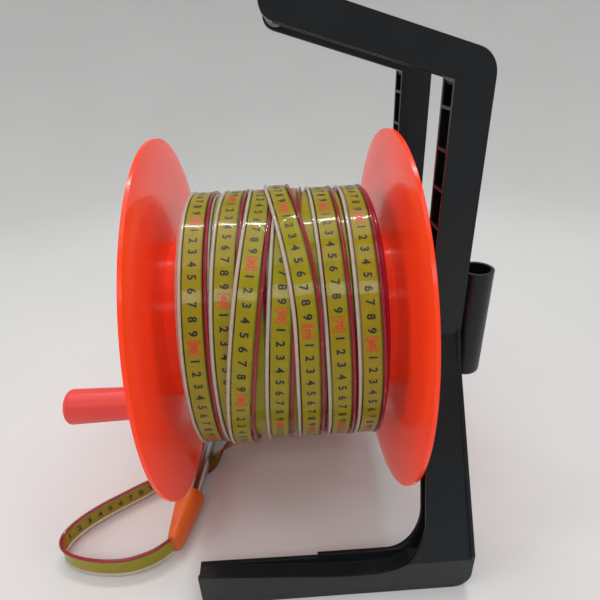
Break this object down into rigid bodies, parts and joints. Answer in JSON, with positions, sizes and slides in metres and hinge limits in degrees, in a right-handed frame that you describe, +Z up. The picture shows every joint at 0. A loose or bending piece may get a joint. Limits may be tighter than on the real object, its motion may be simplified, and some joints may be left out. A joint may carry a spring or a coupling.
{
  "type": "surveyor tape reel",
  "caption": "Hand-cranked reel of flat conductor tape on a one-sided channel stand, with a probe on the free end and a carrying grip.",
  "frame": {"origin": "on the floor under the middle of the object's box, measured without the free tape, boot and probe", "axes": "+Z up, X along the axle with the crank at -X and the stand at +X, Y from front to back"},
  "size_m": [0.37, 0.312, 0.4285],
  "materials": {
    "frame_plastic": "moulded satin black",
    "grip_plastic": "soft matte black",
    "reel_plastic": "polished orange red",
    "knob_plastic": "satin red",
    "panel_plastic": "fine texture black",
    "rocker_plastic": "gloss red",
    "lamp_lens": "clear red",
    "board_green": "solder mask",
    "battery_case": "printed film",
    "white_plastic": "natural",
    "bronze": "sintered",
    "steel": "stainless",
    "tape_yellow": "clear jacket over a printed yellow band",
    "boot_rubber": "soft orange rubber"
  },
  "bodies": {
    "stand": {"front_side_frame": "frame_plastic", "rear_side_frame": "frame_plastic", "hub_plate": "frame_plastic", "hub_bolts": "steel", "carry_grip": "grip_plastic", "grip_screws": "steel", "probe_holder": "frame_plastic", "holder_screws": "steel", "axle": "steel", "axle_nut": "steel", "axle_washer": "steel", "thrust_washer": "white_plastic", "retaining_washer": "steel", "axle_bolt": "steel", "tape_tail": "tape_yellow", "tail_boot": "boot_rubber", "probe_body": "steel", "probe_insulator": "white_plastic", "probe_electrode": "steel"},
    "reel": {"bush_left": "bronze", "bush_right": "bronze", "reel_drum": "reel_plastic", "left_flange": "reel_plastic", "right_flange": "reel_plastic", "flange_screws": "steel", "wound_tape": "tape_yellow", "tape_anchor": "steel", "anchor_screws": "steel", "crank_spindle": "steel", "knob_screw": "steel", "hub_panel": "panel_plastic", "panel_screws": "steel", "switch_housing": "panel_plastic", "rocker_pin": "steel", "sensitivity_pot": "steel", "indicator_lamp": "lamp_lens", "buzzer": "panel_plastic", "circuit_board": "board_green", "battery": "battery_case", "battery_tray": "panel_plastic"},
    "crank": {"crank_knob": "knob_plastic", "knob_cap": "knob_plastic"},
    "rocker": {"power_rocker": "rocker_plastic"},
    "dial": {"sensitivity_knob": "panel_plastic"}
  },
  "joints": [
    {"name": "reel_spin", "type": "hinge", "parent": "stand", "child": "reel", "pos_m": [-0.006, 0, 0.18], "axis": [1, 0, 0], "continuous": true},
    {"name": "crank_knob_spin", "type": "hinge", "parent": "reel", "child": "crank", "pos_m": [-0.13, -0.118, 0.18], "axis": [1, 0, 0], "continuous": true},
    {"name": "power_rocker_tilt", "type": "hinge", "parent": "reel", "child": "rocker", "pos_m": [-0.1015, 0, 0.206], "axis": [0, 1, 0], "range_deg": [0, 16]},
    {"name": "sensitivity_turn", "type": "hinge", "parent": "reel", "child": "dial", "pos_m": [-0.105, 0, 0.156], "axis": [1, 0, 0], "range_deg": [0, 270]}
  ]
}
